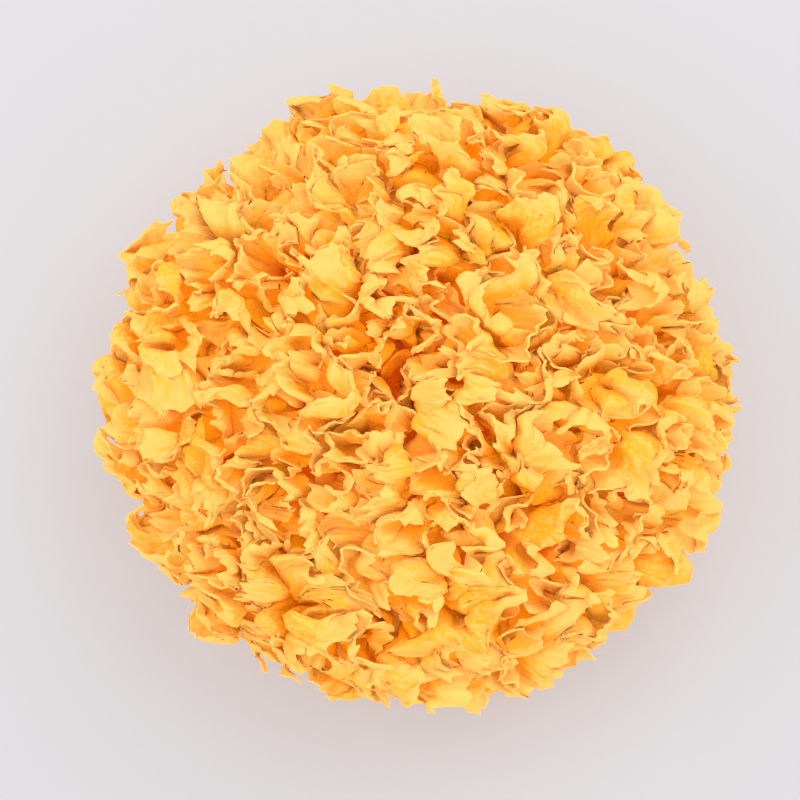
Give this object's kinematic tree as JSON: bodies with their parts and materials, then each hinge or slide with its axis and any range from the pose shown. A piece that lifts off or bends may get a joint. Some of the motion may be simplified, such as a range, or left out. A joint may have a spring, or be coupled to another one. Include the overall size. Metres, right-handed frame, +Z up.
{
  "type": "dried snow fungus",
  "caption": "Whole dried snow fungus head: thin, tightly ruffled fronds fanning out in a dome from one knob of a foot, cut flat so that it stands.",
  "frame": {"origin": "centre of the flat cut under the foot, where the head was taken off the log and where it stands", "axes": "+Z up through the crown; +X to the right and +Y to the top of the picture, which looks down on the head"},
  "size_m": [0.151, 0.1469, 0.0747],
  "materials": {
    "dried_foot": "matte",
    "dried_frond": "satin"
  },
  "bodies": {
    "root": {"foot": "dried_foot", "crown_frond_01": "dried_frond", "crown_frond_02": "dried_frond", "inner_frond_01": "dried_frond", "inner_frond_02": "dried_frond", "inner_frond_03": "dried_frond", "inner_frond_04": "dried_frond", "inner_frond_05": "dried_frond", "middle_frond_01": "dried_frond", "middle_frond_02": "dried_frond", "middle_frond_03": "dried_frond", "middle_frond_04": "dried_frond", "middle_frond_05": "dried_frond", "middle_frond_06": "dried_frond", "middle_frond_07": "dried_frond", "outer_frond_01": "dried_frond", "outer_frond_02": "dried_frond", "outer_frond_03": "dried_frond", "outer_frond_04": "dried_frond", "outer_frond_05": "dried_frond", "outer_frond_06": "dried_frond", "outer_frond_07": "dried_frond", "outer_frond_08": "dried_frond", "outer_frond_09": "dried_frond", "skirt_frond_01": "dried_frond", "skirt_frond_02": "dried_frond", "skirt_frond_03": "dried_frond", "skirt_frond_04": "dried_frond", "skirt_frond_05": "dried_frond", "skirt_frond_06": "dried_frond", "skirt_frond_07": "dried_frond", "skirt_frond_08": "dried_frond", "skirt_frond_09": "dried_frond", "skirt_frond_10": "dried_frond"}
  },
  "joints": []
}
